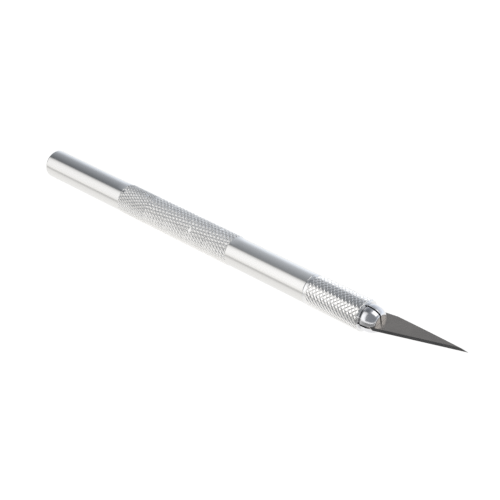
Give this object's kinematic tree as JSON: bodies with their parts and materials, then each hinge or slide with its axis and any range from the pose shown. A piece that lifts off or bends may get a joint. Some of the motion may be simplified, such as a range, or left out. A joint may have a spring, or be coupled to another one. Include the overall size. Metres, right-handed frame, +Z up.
{
  "type": "hobby craft knife",
  "caption": "Slim round craft knife: plain and knurled aluminium handle, knurled collar that closes a slotted collet on a pointed replaceable blade.",
  "frame": {"origin": "on the surface that the knife lies on, under the middle of its length and below its axis", "axes": "+X along the knife towards the blade's point, +Z up, cutting edge on the -Y side"},
  "size_m": [0.144, 0.0084, 0.0083],
  "materials": {
    "handle_aluminium": "turned and lightly polished, knurled grip",
    "collar_plating": "bright plated, knurled",
    "collet_plating": "bright plated and polished",
    "blade_steel": "dark ground steel with a finer ground bevel"
  },
  "bodies": {
    "handle": {"handle": "handle_aluminium"},
    "collar": {"collar": "collar_plating"},
    "collet": {"collet": "collet_plating"},
    "blade": {"blade": "blade_steel"}
  },
  "joints": [
    {"name": "collar_turn", "type": "hinge", "parent": "handle", "child": "collar", "pos_m": [0.0274, 0, 0.00416], "axis": [1, 0, 0], "range_deg": [0, 540]},
    {"name": "collet_advance", "type": "slide", "parent": "collar", "child": "collet", "axis": [1, 0, 0], "range_m": [0, 0.0012]},
    {"name": "blade_pull", "type": "slide", "parent": "collet", "child": "blade", "axis": [1, 0, 0], "range_m": [0, 0.02]}
  ],
  "couplings": [
    {"joint": "collar_turn", "follows": "collet_advance", "rad_per_m": 7854}
  ]
}
